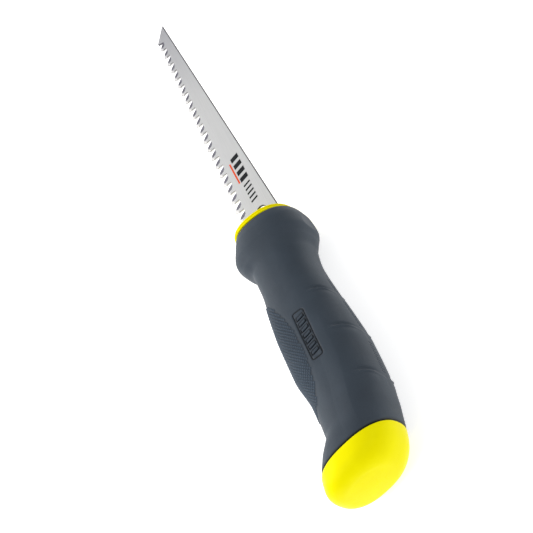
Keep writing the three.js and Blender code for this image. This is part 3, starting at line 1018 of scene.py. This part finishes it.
def build_strip_ribs():
    """Short ribs across the textured strip down the back."""
    points, outward, forward = [], [], []
    for x in np.arange(STRIP["x0"] - RIB["pitch"], STRIP["x1"] + 1.2, -RIB["pitch"]):
        if any(-1.6 < float(wave_offset(x, 180.0, start)) < 5.5 for start in WAVE_XS):
            continue
        spot, normal, ahead = surface_spot(x, math.pi)
        points.append(spot)
        outward.append(normal)
        forward.append(ahead)
    stud = raised_pad("rib", RIB["length"], RIB["width"], RIB["height"], sides=8)
    scatter("grip_back_ribs", points, outward, forward, stud, RUBBER)


def build_label_bars():
    """A plain row of slanted raised bars inside the label's border."""
    points, outward, forward = [], [], []
    for i in range(BAR_COUNT):
        x = LABEL["x"] + LABEL["half_length"] - BAR_START - i * BAR_PITCH
        angles = np.radians(np.linspace(60, 120, 241))
        line = handle_section(x, 0, angles)
        angle = float(np.interp(-LABEL["y"], -line[:, 1], angles))
        spot, normal, ahead = surface_spot(x, angle)
        points.append(spot)
        outward.append(normal)
        forward.append(ahead)
    stud = raised_pad("bar", BAR_WIDTH, BAR_LENGTH, BAR_HEIGHT, slant=BAR_SLANT, sides=8)
    scatter("grip_label_bars", points, outward, forward, stud, RUBBER)


# ---- butt cap ------------------------------------------------------------------------------
CAP_ROUND = 200                   # points round each ring
CAP_LIP = 0.5                     # rounding of the cap's front edge
CAP_DOME = 0.5                    # how far the butt's middle stands out


def build_butt_cap():
    size = CAP_ROUND
    front = SEAM_X - GAP
    rows = []
    for turn in (0, 30, 60, 90):
        a = math.radians(turn)
        rows.append((front - CAP_LIP * (1 - math.cos(a)), CAP_LIP * (1 - math.sin(a))))
    rows += [(x, 0.0) for x in np.linspace(front - 0.8, BUTT_X + BUTT_ROUNDING, 14)]
    for turn in np.linspace(0, 90, 25)[1:]:
        a = math.radians(turn)
        along, across = (abs(v) ** (2 / BUTT_ROUNDING_POWER) for v in (math.sin(a), math.cos(a)))
        rows.append((BUTT_X + BUTT_ROUNDING * (1 - along), BUTT_ROUNDING * (1 - across)))
    rings = [handle_section(x, inset, even_angles(x, size)) for x, inset in rows]
    last = rings[-1]
    centre = last.mean(axis=0)
    for shrink in np.linspace(0.92, 0.06, 16):
        ring = centre + (last - centre) * shrink
        ring[:, 0] -= CAP_DOME * (1 - shrink ** 2)
        rings.append(ring)
    outer_count = len(rings)
    socket_xs = (front, front - 3, SPIGOT_X - GAP)
    socket = [handle_section(x, SPIGOT_INSET - GAP, even_angles(x, size)) for x in socket_xs]
    vertices = np.concatenate(rings + socket)
    vertices[:, 0] = np.maximum(vertices[:, 0], (cap_box[0].x - ORIGIN.x) / MM)
    faces = ring_faces(outer_count, size)
    faces.append(tuple(range((outer_count - 1) * size, outer_count * size)))
    base = outer_count * size
    for i in range(size):
        j = (i + 1) % size
        faces.append((i, j, base + j, base + i))
        for row in range(2):
            here = base + row * size
            faces.append((here + i, here + j, here + size + j, here + size + i))
    faces.append(tuple(range(base + 2 * size, base + 3 * size)))
    obj = make_object("butt_end_cap", vertices, faces, [YELLOW])
    face_outwards(obj)
    soften_by_angle(obj, 40)
    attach(obj, "root")
    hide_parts("butt_cap")


# ---- stage -----------------------------------------------------------------------------------
FLOOR_HALF = 4.0
FLOOR_DROP = 0.0002               # metres below the saw, so that the two don't flicker
# Name, place, target, size (metres) and power (watts).
LIGHTS = (
    ("tip_side", (0.65, 0.6, 0.5), (0, 0, 0), 0.7, 2.8),
    ("overhead", (-0.25, 0.5, 0.85), (0, 0, 0), 0.7, 3.6),
    ("finger_side", (0.1, 0.8, 0.4), (0, 0, 0), 0.5, 2.5),
    ("back_side", (-0.25, -0.8, 0.75), (-0.05, 0, 0), 0.5, 0.8),
)
WORLD_STRENGTH = 0.5
CAMERA = {"place": (-337.5, -145.5, 412.9), "target": (-17.1, 8.9, 0), "lens": 79.0, "roll": -58.5}


def build_floor():
    n = Nodes("pale_floor")
    mottled = n.noise(n.position(), 4, 3)
    n.set(Base_Color=n.blend(mottled, (0.90, 0.90, 0.90, 1), (0.93, 0.93, 0.93, 1)), Roughness=0.9)
    n.set(Specular_IOR_Level=0.1, Emission_Color=(1, 1, 1, 1), Emission_Strength=0.65)
    mesh = bpy.data.meshes.new("floor")
    corners = [(x * FLOOR_HALF, y * FLOOR_HALF, -FLOOR_DROP) for x, y in ((-1, -1), (1, -1), (1, 1), (-1, 1))]
    mesh.from_pydata(corners, [], [(0, 1, 2, 3)])
    mesh.materials.append(n.material)
    floor = bpy.data.objects.new("floor", mesh)
    bpy.context.scene.collection.objects.link(floor)


def aim(direction, roll=0.0):
    look = Vector(direction).normalized().to_track_quat("-Z", "Y")
    return look @ Quaternion((0, 0, 1), math.radians(roll))


def add_area(name, place, target, size, power):
    """A square soft light at place, turned to target; metres and watts."""
    light = bpy.data.lights.new(name, "AREA")
    light.shape = "SQUARE"
    light.size = size
    light.energy = power
    obj = bpy.data.objects.new(name, light)
    obj.location = place
    obj.rotation_mode = "QUATERNION"
    obj.rotation_quaternion = aim(Vector(target) - Vector(place))
    bpy.context.scene.collection.objects.link(obj)


def build_lights():
    world = bpy.data.worlds.new("studio")
    world.use_nodes = True
    background = world.node_tree.nodes["Background"]
    background.inputs["Color"].default_value = (1, 1, 1, 1)
    background.inputs["Strength"].default_value = WORLD_STRENGTH
    bpy.context.scene.world = world
    for light in LIGHTS:
        add_area(*light)


def build_camera():
    data = bpy.data.cameras.new("camera")
    data.sensor_width = 36
    data.lens = CAMERA["lens"]
    data.clip_start, data.clip_end = 0.01, 20
    camera = bpy.data.objects.new("camera", data)
    place, target = at(*CAMERA["place"]), at(*CAMERA["target"])
    camera.location = place
    camera.rotation_mode = "QUATERNION"
    camera.rotation_quaternion = aim(target - place, CAMERA["roll"])
    bpy.context.scene.collection.objects.link(camera)
    bpy.context.scene.camera = camera
    bpy.context.scene.view_settings.view_transform = "Standard"


# ---- assembly -----------------------------------------------------------------------------------
build_blade()
build_printing()
build_core_half("core_upper", "core_half_upper", 1)
build_core_half("core_lower", "core_half_lower", -1)
dress_rivets()
build_sleeve()
build_panel_studs()
build_strip_ribs()
build_label_bars()
build_butt_cap()
build_floor()
build_lights()
build_camera()
